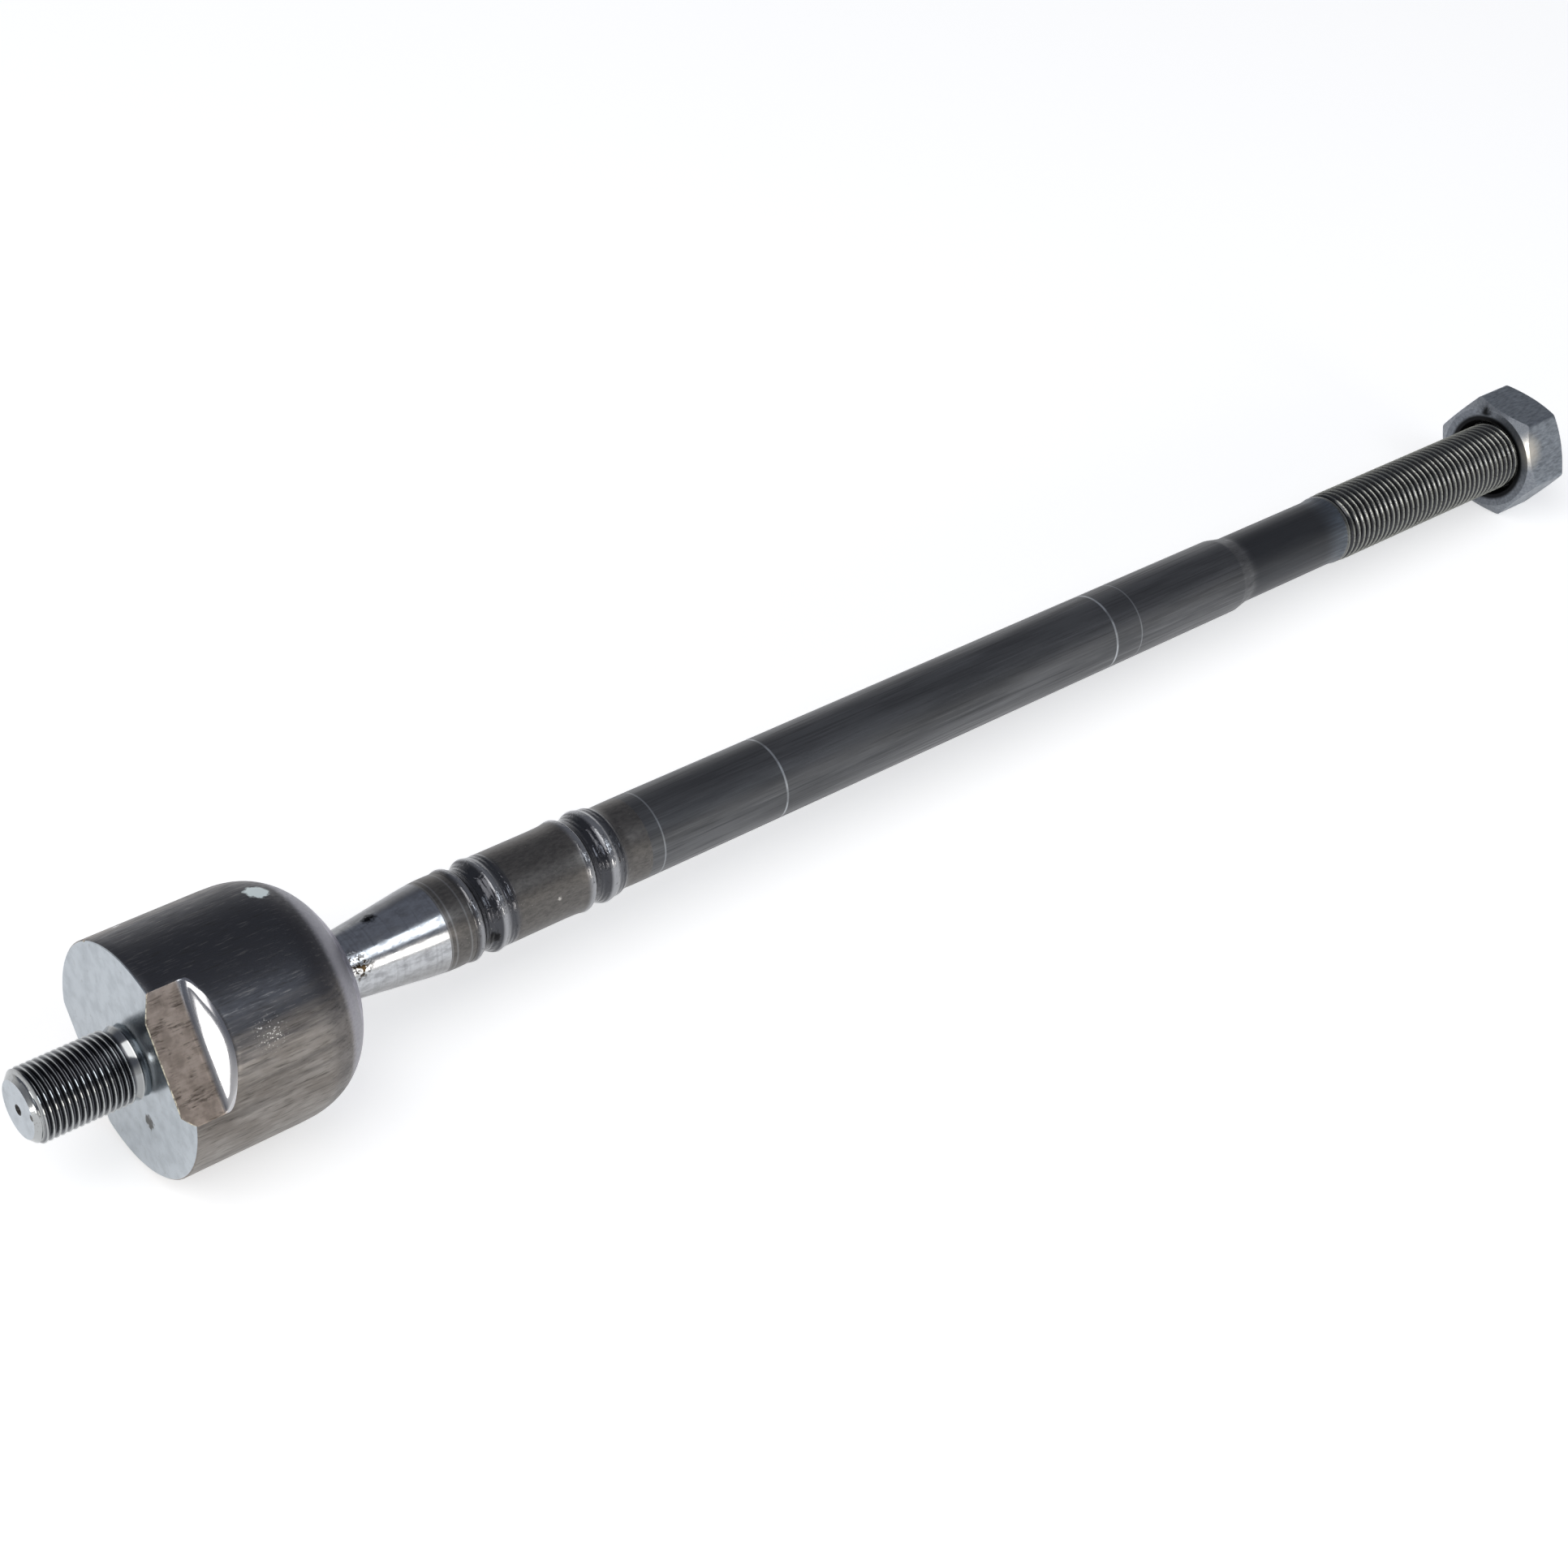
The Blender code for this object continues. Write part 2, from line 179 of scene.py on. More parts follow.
def linear(hex_colour):
    """An sRGB colour such as "#8A908C" as linear red, green, blue and 1: each channel is
    ((c + 0.055) / 1.055) to the power 2.4, or c / 12.92 where it is very dark."""
    parts = [int(hex_colour[i : i + 2], 16) / 255 for i in (1, 3, 5)]
    parts = [c / 12.92 if c <= 0.04045 else ((c + 0.055) / 1.055) ** 2.4 for c in parts]
    return (*parts, 1.0)


def fill(node, inputs):
    """Gives a node's inputs their values: plain ones, nodes (their first output) or outputs."""
    for socket, value in inputs.items():
        if isinstance(value, bpy.types.Node):
            value = value.outputs[0]
        if isinstance(value, bpy.types.NodeSocket):
            node.id_data.links.new(value, node.inputs[socket])
        else:
            node.inputs[socket].default_value = value


def add(tree, kind, *values, inputs=None, **settings):
    """Adds a node with its settings. The values fill its inputs in order; inputs names others."""
    made = tree.nodes.new("ShaderNode" + kind)
    for setting, value in settings.items():
        setattr(made, setting, value)
    fill(made, dict(enumerate(values)))
    fill(made, inputs or {})
    return made


def new_finish(name):
    """A material with its node tree, its principled shader and the place in own millimetres: X
    runs along the axis from the cup's face, Y and Z lie across it."""
    made = bpy.data.materials.new(name)
    made.use_nodes = True
    tree = made.node_tree
    tree.nodes.clear()
    shader = add(tree, "BsdfPrincipled")
    add(tree, "OutputMaterial", inputs={"Surface": shader})
    metres = add(tree, "TexCoord").outputs["Object"]
    slope = math.atan2(-AXIS[2], AXIS[0])
    own = add(
        tree, "Mapping", metres, CUP_FACE, (0, slope, 0), (0.001, 0.001, 0.001),
        vector_type="TEXTURE",
    )
    return made, tree, shader, own


def off_axis(tree, own):
    """The distance from the axis in mm."""
    across = add(tree, "VectorMath", own, (0, 1, 1), operation="MULTIPLY")
    return add(tree, "VectorMath", across, operation="LENGTH").outputs["Value"]


def towards(tree, own, turn):
    """How far, in mm, a place lies from the axis in the direction of one turn."""
    direction = (0, -math.cos(turn), math.sin(turn))
    return add(tree, "VectorMath", own, direction, operation="DOT_PRODUCT").outputs["Value"]


def mottle(tree, own, scale, size_mm, detail=3.0, roughness=0.55):
    """Noise whose spots are about size_mm across, and longer along an axis whose scale is small."""
    stretched = add(tree, "VectorMath", own, scale, operation="MULTIPLY")
    shape = {"Scale": 1 / size_mm, "Detail": detail, "Roughness": roughness}
    return add(tree, "TexNoise", stretched, inputs=shape)


def layer(tree, under, over, value, low, high, amount=1.0):
    """Lays one colour over another, each a hex colour, a linear one or a node, by a share that
    goes smoothly from 0, where the value is low, to amount, where it is high."""
    share = add(tree, "MapRange", value, low, high, 0, amount, **SMOOTH)
    under, over = (linear(tone) if isinstance(tone, str) else tone for tone in (under, over))
    return add(tree, "MixRGB", share, under, over)


edge = math.acos(FLAT_DISTANCE / CUP_RADIUS)
inside = np.linspace(-1, 1, 37) * edge
outside = np.linspace(edge, math.pi - edge, 45)[1:-1]
hair = math.radians(0.35)
near = np.sort(np.concatenate([inside, [-edge - hair, -edge + hair, edge - hair, edge + hair]]))
outside = np.concatenate([[edge + 3 * hair], outside, [math.pi - edge - 3 * hair]])
half_round = np.concatenate([near, outside])
cup_turns = np.concatenate([half_round, half_round + math.pi, near[:1] + 2 * math.pi]) + FLAT_TURN
from_flat = (cup_turns - FLAT_TURN + math.pi / 2) % math.pi - math.pi / 2


def cup_wall(rows):
    """The straight wall with its flats. One radius is the cylinder's, the other the flat's
    distance divided by cos(turn from the flat). Past the flat's end the distance grows by past
    squared / (2 * hollow) until its slope is reached, then by that slope. The smaller radius
    counts, less (round - difference) squared / (4 * round) where they differ by under round."""
    cylinder = CUP_RADIUS - np.clip(FACE_CHAMFER - rows, 0.0, FACE_CHAMFER)
    past = np.maximum(rows - flat_end, 0.0)
    bent = np.minimum(past, RUNOUT_HOLLOW * RUNOUT_SLOPE)
    runout = bent**2 / (2 * RUNOUT_HOLLOW) + (past - bent) * RUNOUT_SLOPE
    flat = (FLAT_DISTANCE + runout) / np.cos(from_flat)[None, :]
    give = CREASE_ROUND * np.clip(past / CREASE_GROWTH, CREASE_LEAST, 1.0)
    rounding = np.maximum(give - np.abs(flat - cylinder), 0.0) ** 2 / (4 * give)
    return np.minimum(cylinder, flat) - rounding


def blend_rows(first, last, shares):
    """Rows between two rows of places, by share of the way."""
    return first[None, :] + (last - first)[None, :] * np.asarray(shares)[:, None]


half_width = FLAT_DISTANCE * math.tan(edge)
beside = FLAT_DISTANCE * np.tan(np.clip(from_flat, -edge, edge))
longer = np.where(beside > 0, FLAT_LONGER_TOP, FLAT_LONGER_BOTTOM)
flat_end = FLAT_LENGTH + longer * (beside / half_width) ** 2
reach = CUP_RADIUS * np.cos(np.minimum(np.abs(from_flat), edge)) - FLAT_DISTANCE
hollow_reach = RUNOUT_HOLLOW * RUNOUT_SLOPE**2 / 2
crease = flat_end + np.where(
    reach < hollow_reach,
    np.sqrt(2 * RUNOUT_HOLLOW * np.maximum(reach, 0)),
    RUNOUT_HOLLOW * RUNOUT_SLOPE + (reach - hollow_reach) / RUNOUT_SLOPE,
)
lip = np.minimum((half_width - beside) / LIP_TOP, (half_width + beside) / LIP_BOTTOM)
lip = FLAT_LIP * np.clip(lip, 0, 1)
lip = np.where(np.cos(cup_turns - FLAT_TURN) > 0, lip, 0.0)
wall_rest = np.full_like(crease, FLAT_LENGTH + RUNOUT_ROOM)
flat_shares = [0.0, 0.012, 0.026, 0.045, 0.066, 0.3, 0.6, 0.97, 1.0]
hollow_shares = np.sin(np.linspace(0, math.pi / 2, 15))[1:]
crease_shares = [0.04, 0.1, 0.18]
places = np.concatenate([
    blend_rows(-lip, flat_end, flat_shares),
    blend_rows(flat_end, crease, hollow_shares),
    blend_rows(crease, wall_rest, crease_shares + [0.3, 0.45, 0.7, 1.0]),
    blend_rows(wall_rest, np.full_like(crease, CUP_STRAIGHT), [0.33, 0.66]),
])
wall = cup_wall(places)
lip_foot = wall[0] - LIP_THICK * np.minimum(lip / LIP_THICK, 1.0)
face_start = SHANK_RADIUS + SHANK_FILLET
face_rows = face_start + (lip_foot - face_start)[None, :] * np.linspace(0, 1, 9)[:, None]
lip_rows = lip_foot + (wall[0] - lip_foot)[None, :] * np.array([0.3, 0.65])[:, None]
face_places = np.concatenate([0 * face_rows, -lip[None, :] * np.array([0.6, 1.0])[:, None]])
face_rows = np.concatenate([face_rows, lip_rows])
shank_start = STUD_THREAD_END - SHANK_SUNK
shank = [(shank_start, 0.0), (shank_start, SHANK_RADIUS), (STUD_THREAD_END, SHANK_RADIUS)]
shank += [
    (-SHANK_FILLET * math.cos(a), SHANK_RADIUS + SHANK_FILLET * (1 - math.sin(a)))
    for a in np.linspace(0, math.pi / 2, 7)[:-1]
]

# The dome is a superellipse that ends just before the mouth, where the lip's round goes on. The two
# rows after its first are left out, so that no point lies lower than the solid's does.
dome_power = 2 / DOME_POWER
mouth_turn = math.asin((MOUTH_RADIUS / CUP_RADIUS) ** (1 / dome_power))
dome_turns = np.delete(np.linspace(math.pi / 2, mouth_turn * 1.08, 30), [1, 2])
dome = [
    (
        CUP_STRAIGHT + DOME_REACH * max(math.cos(a), 0.0) ** dome_power,
        CUP_RADIUS * math.sin(a) ** dome_power,
    )
    for a in dome_turns
]
lip_place = CUP_STRAIGHT + DOME_REACH * math.cos(mouth_turn) ** dome_power
lip_round = [
    (lip_place - LIP_ROUND * (1 - math.cos(a)) - 0.1, MOUTH_RADIUS + LIP_ROUND * (1 - math.sin(a)))
    for a in np.linspace(0.25, math.pi / 2, 7)
]
cavity_turns = np.linspace(math.asin(MOUTH_RADIUS / CAVITY_RADIUS), math.pi / 2, 10)
cavity = [
    (BALL_PLACE + CAVITY_RADIUS * math.cos(a), CAVITY_RADIUS * math.sin(a)) for a in cavity_turns
]
cavity += [(CUP_FLOOR, CAVITY_RADIUS), (CUP_FLOOR, 0.0)]

stud_root = STUD_RADIUS - THREAD_DEPTH * STUD_PITCH
stud_tip = STUD_RADIUS - STUD_CHAMFER
stud = thread_grid(
    STUD_END, STUD_THREAD_END, STUD_PITCH, STUD_RADIUS, stud_root, cup_turns,
    (stud_tip, STUD_CHAMFER_RISE), (stud_root - 0.1, STUD_RUNOUT_RISE),
)
drill = [(STUD_END + DRILL_DEPTH, 0.0), (STUD_END + 0.25, 0.62 * DRILL_RADIUS)]
face_grid = (face_places, face_rows, np.broadcast_to(cup_turns, face_rows.shape))
wall_grid = (places, wall, np.broadcast_to(cup_turns, places.shape))
outer = joined(
    ringed(shank, cup_turns), face_grid, wall_grid, ringed(dome + lip_round + cavity, cup_turns)
)

# Finishes by rows of faces, and on the wall by the faces between the flats' edges too. The pressed
# metal reaches a little past the crease, and the worn edge runs from the face onto the flat.
wall_first = len(shank) + len(face_rows)
dome_end = wall_first + len(places) + len(dome)
pressed_rows = len(flat_shares) - 1 + len(hollow_shares) + len(crease_shares)
on_flat = np.abs((from_flat[1:] + from_flat[:-1]) / 2) < edge
finish = np.full((len(outer[0]) - 1, len(cup_turns) - 1), SKIN)
finish[: len(shank) - 1] = STUD
finish[len(shank) - 1 : wall_first] = FACE
finish[wall_first : wall_first + pressed_rows] = np.where(on_flat, FLAT, SKIN)
finish[wall_first - 1 : wall_first + 2] = np.where(on_flat, EDGE, FACE)
finish[dome_end - RIM_ROWS :] = RIM
finish[dome_end + len(lip_round) - 1 :] = INSIDE
stud_face = [(STUD_END, radius) for radius in (DRILL_RADIUS, 1.2, 3.0, stud_tip)]
stud_grid = joined(
    ringed(drill + stud_face, cup_turns), stud, ringed([(STUD_THREAD_END, 0.0)], cup_turns)
)
stud_finish = np.full(len(stud_grid[0]) - 1, STUD)
stud_finish[: len(drill)] = INSIDE
stud_finish[len(drill) : len(drill + stud_face) - 1] = FACE
housing = skin("forged_cup", [(*outer, finish), (*stud_grid, stud_finish)])
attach(housing, "housing")
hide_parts("housing")


def patch_at(tree, own, where, size, soft=0.5, ragged=0.0):
    """A share that is 1 near one place (along, radius, turn in degrees) and 0 beyond size mm, with
    soft of that size for the change. Ragged is how far, in mm, noise moves its border."""
    along, radius, turn = where[0], where[1], math.radians(where[2])
    middle = (along, -radius * math.cos(turn), radius * math.sin(turn))
    gap = add(tree, "VectorMath", own, middle, operation="DISTANCE").outputs["Value"]
    moved = mottle(tree, own, (1, 1, 1), 0.4 * size, detail=4)
    moved = add(tree, "Math", moved, 0.5, operation="SUBTRACT")
    gap = add(tree, "Math", moved, 2 * ragged, gap, operation="MULTIPLY_ADD")
    return add(tree, "MapRange", gap, size, size * (1 - soft), **SMOOTH)


# Phosphated forging: a dark brownish conversion coat, rubbed thin and oiled. It shows as a soft
# grey sheen near the silhouette, with fine pale and dark streaks along the axis. Its top is toned
# darker and bluish with a ragged border, a painted shade. A pale dab is on its top, and towards
# the rim a paler, slightly violet band where the rolling tool rubbed it.
forging, tree, shader, own = new_finish("phosphated_forging")
place = add(tree, "SeparateXYZ", own).outputs["X"]
fine = mottle(tree, own, (0.1, 1, 1), 0.34, detail=5, roughness=0.65)
broad = mottle(tree, own, (0.07, 1, 1), 1.6, detail=4)
clouds = mottle(tree, own, (0.6, 1, 1), 5.0, detail=3)
# Painted shade: the top sector is darkened bluish grey, its border moved by the broad noise.
shaded_top = towards(tree, own, SHADED_TOP_TURN)
shaded_top = add(tree, "Math", broad, SHADED_TOP_RAGGED, shaded_top, operation="MULTIPLY_ADD")
coat = layer(tree, "#96918C", "#807A74", clouds, 0.35, 0.65)
coat = layer(tree, coat, "#5E5A57", broad, 0.48, 0.7, 0.55)
coat = layer(tree, coat, "#4E4F54", shaded_top, 13.5, 21.5)
coat = layer(tree, coat, "#35332F", fine, 0.5, 0.72, 0.55)
coat = layer(tree, coat, "#A5A19C", fine, 0.46, 0.3, 0.35)
band_start = add(tree, "MapRange", place, 22.5, 25.5, **SMOOTH)
band_end = add(tree, "MapRange", place, 28.2, 27.0, 0, 0.4, **SMOOTH)
band = add(tree, "Math", band_start, band_end, operation="MULTIPLY")
coat = add(tree, "MixRGB", band, coat, linear("#434145"))
coat = layer(tree, coat, "#A4A3AB", place, 27.0, 28.7, 0.8)
scuffs = mottle(tree, own, (0.7, 1, 1), 0.3, detail=4)
scuffs = add(tree, "MapRange", scuffs, 0.58, 0.66, **SMOOTH)
scuffed = patch_at(tree, own, (14.2, 19, 36), 3.4, soft=0.7, ragged=1.0)
scuffs = add(tree, "Math", scuffs, scuffed, operation="MULTIPLY")
coat = add(tree, "MixRGB", scuffs, coat, linear("#D9D9D6"))
dab = patch_at(tree, own, (24.6, 19, 104.5), 2.2, soft=0.25, ragged=0.8)
coat = add(tree, "MixRGB", dab, coat, linear("#E6F1F1"))
bump = add(tree, "Bump", inputs={"Height": fine, "Strength": 0.3, "Distance": 0.00004})
fill(shader, {
    "Base Color": coat,
    "Metallic": add(tree, "MapRange", dab, 0, 1, 0.88, 0.1, **SMOOTH),
    "Roughness": add(tree, "MapRange", fine, 0.3, 0.75, 0.34, 0.5, **SMOOTH),
    "Normal": bump,
})

# Turned end faces: steel faced on a lathe and left matt and pale, with very faint rings round the
# axis, a greyish mottling from handling, and a small dark mark below the stud.
faced, tree, shader, own = new_finish("turned_face_steel")
radius = off_axis(tree, own)
clouds = mottle(tree, own, (1, 1, 1), 2.6, detail=5)
tone = layer(tree, "#BCC3C9", "#AEB5BB", clouds, 0.38, 0.68)
grime = mottle(tree, own, (1, 1, 1), 0.9, detail=5)
tone = layer(tree, tone, "#7E807F", grime, 0.6, 0.72, 0.35)
mark = patch_at(tree, own, (0, 9.7, -52), 1.5, soft=0.5, ragged=1.1)
nick = patch_at(tree, own, (STUD_END, 4.3, 24), 0.7, soft=0.5, ragged=0.3)
tone = add(tree, "MixRGB", mark, tone, linear("#4B4A48"))
tone = add(tree, "MixRGB", nick, tone, linear("#2A211B"))
rings = add(tree, "Math", radius, 2 * math.pi / FACE_RINGS, operation="MULTIPLY")
rings = add(tree, "Math", rings, operation="SINE")
bump = add(tree, "Bump", inputs={"Height": rings, "Strength": 0.05, "Distance": 0.00002})
fill(shader, {
    "Base Color": tone,
    "Metallic": 1.0,
    "Roughness": add(tree, "MapRange", clouds, 0.3, 0.7, 0.19, 0.23, **SMOOTH),
    "Normal": bump,
})

# Pressed flats: bare steel, dulled brown, with smudges of dark streaks along the axis where the
# tool's marks hold oil. The run-out's hollow and its rounded crease are burnished bright.
pressed, tree, shader, own = new_finish("pressed_flat_steel")
place = add(tree, "SeparateXYZ", own).outputs["X"]
streaks = mottle(tree, own, (0.14, 1, 1), 0.3, detail=5, roughness=0.6)
clouds = mottle(tree, own, (1, 1, 1), 2.4, detail=3)
dull = layer(tree, "#A2968D", "#857A72", clouds, 0.35, 0.65)
smudges = mottle(tree, own, (0.8, 1, 1), 1.7, detail=4)
smudges = add(tree, "MapRange", smudges, 0.46, 0.62, 0.12, 1.0, **SMOOTH)
dark = add(tree, "MapRange", streaks, 0.4, 0.68, 0, 0.85, **SMOOTH)
dark = add(tree, "Math", dark, smudges, operation="MULTIPLY")
dull = add(tree, "MixRGB", dark, dull, linear("#3E3833"))
hollow = add(tree, "MapRange", place, FLAT_LENGTH + 0.3, FLAT_LENGTH + 1.2, **SMOOTH)
fill(shader, {
    "Base Color": add(tree, "MixRGB", hollow, dull, linear("#C9C8CA")),
    "Metallic": 1.0,
    "Roughness": add(tree, "MapRange", hollow, 0, 1, 0.38, 0.15, **SMOOTH),
})

# The flat's raised lip: a thin edge of squeezed metal, bright and slightly yellow where it is worn.
edged, tree, shader, own = new_finish("worn_edge_steel")
specks = mottle(tree, own, (1, 1, 1), 0.5, detail=3)
tone = layer(tree, "#E6DFC9", "#8C857A", specks, 0.42, 0.6)
fill(shader, {"Base Color": tone, "Metallic": 1.0, "Roughness": 0.45})

# Rolled stud thread: bright steel, oiled. Only the crests are worn bright, and the valleys are dark
# with oil. The chamfer at the end is turned smooth.
threaded, tree, shader, own = new_finish("oiled_stud_thread")
place = add(tree, "SeparateXYZ", own).outputs["X"]
radius = off_axis(tree, own)
crests = add(tree, "MapRange", radius, STUD_RADIUS - 0.3, STUD_RADIUS - 0.06, **SMOOTH)
turned_end = add(tree, "MapRange", place, STUD_END + 1.4, STUD_END + 1.0, **SMOOTH)
past_thread = add(tree, "Math", place, STUD_THREAD_END, operation="SUBTRACT")
shank_part = add(tree, "MapRange", past_thread, 0.1, 0.4, 0, 0.7, **SMOOTH)
shine = add(tree, "Math", crests, turned_end, operation="MAXIMUM")
shine = add(tree, "Math", shine, shank_part, operation="MAXIMUM")
specks = mottle(tree, own, (1, 1, 1), 0.35, detail=4)
tone = add(tree, "MixRGB", shine, linear("#56585C"), linear("#B4B6B6"))
specks = add(tree, "MapRange", specks, 0.58, 0.7, **SMOOTH)
rolled_part = add(tree, "MapRange", past_thread, 0.3, 0, 0, 0.5, **SMOOTH)
specks = add(tree, "Math", rolled_part, specks, operation="MULTIPLY")
tone = add(tree, "MixRGB", specks, tone, linear("#5B544C"))
fill(shader, {
    "Base Color": tone,
    "Metallic": 1.0,
    "Roughness": add(tree, "MapRange", shine, 0, 1, 0.24, 0.12, **SMOOTH),
})

# Inside of the cup and of the stud's drill mark: dark with grease.
greased, tree, shader, own = new_finish("greased_cavity_steel")
clouds = mottle(tree, own, (1, 1, 1), 1.5)
tone = layer(tree, "#1C1A18", "#2E2A26", clouds, 0.4, 0.6)
fill(shader, {"Base Color": tone, "Metallic": 0.4, "Roughness": 0.3})

# Rolled rim: the phosphate there is rubbed thin by the rolling tool, paler and smoother.
rubbed, tree, shader, own = new_finish("rolled_rim_steel")
clouds = mottle(tree, own, (1, 1, 1), 1.2, detail=4)
tone = layer(tree, "#B4B1BC", "#96939E", clouds, 0.4, 0.65)
fill(shader, {"Base Color": tone, "Metallic": 0.8, "Roughness": 0.38})

for finish_made in (forging, faced, pressed, threaded, greased, rubbed, edged):
    housing.data.materials.append(finish_made)


# The rod: one drawn bar with the ball forged at its end, phosphated dark all over. The neck is then
# ground and polished bright, the boot's two grooves are turned between raised beads, and the outer
# end is reduced and its thread rolled.

BALL_RADIUS = 12.5
BALL_FLAT = 4.0
BALL_END_TURN = 0.52
ROOT_FILLET = [(34.05, 5.78), (34.5, 5.56), (35.1, 5.5)]
NECK = [
    (35.6, 5.52), (36.5, 5.6), (38.5, 5.82), (40.5, 6.03), (42.5, 6.30), (44.5, 6.54),
    (46.5, 6.80), (48.5, 7.06), (50.5, 7.31), (52.5, 7.51), (53.5, 7.58), (54.2, 7.62),
    (56.0, 7.62), (57.0, 7.57),
]
BOOT_SEAT = [
    (57.5, 7.66), (58.0, 7.83), (58.4, 7.85), (59.0, 7.45), (59.5, 7.20), (60.0, 7.04),
    (60.5, 6.99), (61.0, 7.06), (61.5, 7.25), (62.0, 7.57), (62.55, 7.97), (63.0, 7.84),
    (63.5, 7.73), (64.0, 7.65), (64.4, 7.62), (65.0, 7.67), (66.0, 7.65), (76.0, 7.65),
    (78.0, 7.70), (79.0, 7.78), (79.5, 7.89), (80.05, 8.03), (80.5, 7.70), (81.0, 7.45),
    (81.5, 7.31), (82.0, 7.25), (82.5, 7.29), (83.0, 7.42), (83.5, 7.62), (84.0, 7.89),
    (84.45, 8.03), (85.0, 7.82), (85.5, 7.71), (86.0, 7.67), (86.5, 7.66), (87.0, 7.42),
    (87.5, 7.24), (88.0, 7.16), (88.5, 7.13), (90.0, 7.18), (92.0, 7.2),
]
OILED_ROWS = 8  # rows of the neck before the shoulder that aren't polished
BEAD_RIDGES = 0.9
ROD_RADIUS = 7.2
ROD_START = 92.4
ROD_END = 235.8
STEP_LENGTH = 3.6
BLANK_START = 242.0
BLANK_RADIUS = 6.53
THREAD_START = 266.2
THREAD_RUNOUT = 3.0
THREAD_RADIUS = 6.95
THREAD_ROOT = 6.05
THREAD_PITCH = 1.5
THREAD_CHAMFER = 1.3
THREAD_START_RISE = 0.16
THREAD_CHAMFER_RISE = 0.9
ROD_TIP = 330.3
# Directions of the neck's painted shade, on its underside and its upper back.
NECK_SHADED_UNDERSIDE_TURN = math.radians(-60)
NECK_SHADED_BACK_TURN = math.radians(150)

POLISHED, OILED, BAR, THREAD = range(4)

rod_turns = np.linspace(0, 2 * math.pi, 121)
rear = math.sqrt(BALL_RADIUS**2 - BALL_FLAT**2)
ball_turns = np.linspace(math.pi - math.asin(BALL_FLAT / BALL_RADIUS), BALL_END_TURN, 30)
ball = [(BALL_PLACE - rear, 0.0), (BALL_PLACE - rear, BALL_FLAT * 0.9)]
ball += [(BALL_PLACE + BALL_RADIUS * math.cos(a), BALL_RADIUS * math.sin(a)) for a in ball_turns]


def through(points, step):
    """Rows every step mm through measured points: straight between them, then each row is
    rounded with its neighbours, a quarter of each and half of its own."""
    places_along, radii = np.array(points, float).T
    along = np.arange(places_along[0], places_along[-1] + step / 2, step)
    radius = np.interp(along, places_along, radii)
    radius[1:-1] = (radius[:-2] + 2 * radius[1:-1] + radius[2:]) / 4
    return list(zip(along, radius))


neck = through(NECK, 0.7)
boot_seat = through(NECK[-1:] + BOOT_SEAT, 0.2)[1:]
bar = [(along, ROD_RADIUS) for along in np.linspace(ROD_START, ROD_END - 0.25, 14)]
step_end = ROD_END + STEP_LENGTH
bar += [
    (ROD_END, ROD_RADIUS - 0.01), (ROD_END + 0.3, ROD_RADIUS - 0.06),
    (step_end - 0.5, BLANK_RADIUS + 0.07), (step_end, BLANK_RADIUS + 0.01),
    (step_end + 0.5, BLANK_RADIUS),
]
bar += [(along, BLANK_RADIUS) for along in np.linspace(BLANK_START, THREAD_START - 2.6, 6)]
middle = BLANK_RADIUS + 0.25
bar += [
    (THREAD_START - 1.6, BLANK_RADIUS + 0.03), (THREAD_START - 0.6, BLANK_RADIUS + 0.16),
    (THREAD_START, middle),
]
thread_tip = THREAD_RADIUS - THREAD_CHAMFER
along, radius, turn = thread_grid(
    THREAD_START, ROD_TIP, THREAD_PITCH, THREAD_RADIUS, THREAD_ROOT, rod_turns,
    (middle, THREAD_START_RISE), (thread_tip, THREAD_CHAMFER_RISE),
)
fade = np.clip((along - THREAD_START) / THREAD_RUNOUT, 0, 1)
thread = (along, np.minimum(radius + (middle - radius) * (1 - fade), THREAD_RADIUS), turn)
tip = [(ROD_TIP, thread_tip - 0.1), (ROD_TIP, 1.2), (ROD_TIP - 1.1, 0.5), (ROD_TIP - 1.2, 0.0)]

rows = ball + ROOT_FILLET + neck + boot_seat + bar
counts = [
    len(ball + ROOT_FILLET + neck) - OILED_ROWS, OILED_ROWS + len(boot_seat), len(bar) - 1,
    len(thread[0]), len(tip),
]
rod_finish = np.repeat([POLISHED, OILED, BAR, THREAD, BAR], counts)
rod_grid = joined(ringed(rows, rod_turns), thread, ringed(tip, rod_turns))
rod = skin("drawn_rod", [(*rod_grid, rod_finish)])
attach(rod, "rod")
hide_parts("tie_rod")


def line_round(tree, along, at, width, soft=0.7):
    """A share that is 1 on a line or band round the axis at one place and 0 beyond width mm to
    either side of it, with soft of that width for the change."""
    gap = add(tree, "Math", along, at, operation="SUBTRACT")
    gap = add(tree, "Math", gap, operation="ABSOLUTE")
    return add(tree, "MapRange", gap, width, (1 - soft) * width, **SMOOTH)


# Polished neck: bright ground steel under a film of oil, a near mirror with faint rings round it, a
# black stain on its top and brown oil drops by the cup's mouth. Its underside and its upper back
# are toned darker, a painted shade.
polished, tree, shader, own = new_finish("polished_neck_steel")
clouds = mottle(tree, own, (0.5, 1, 1), 1.0, detail=6, roughness=0.65)
tone = layer(tree, "#C8CACD", "#A2A3A6", clouds, 0.38, 0.7)
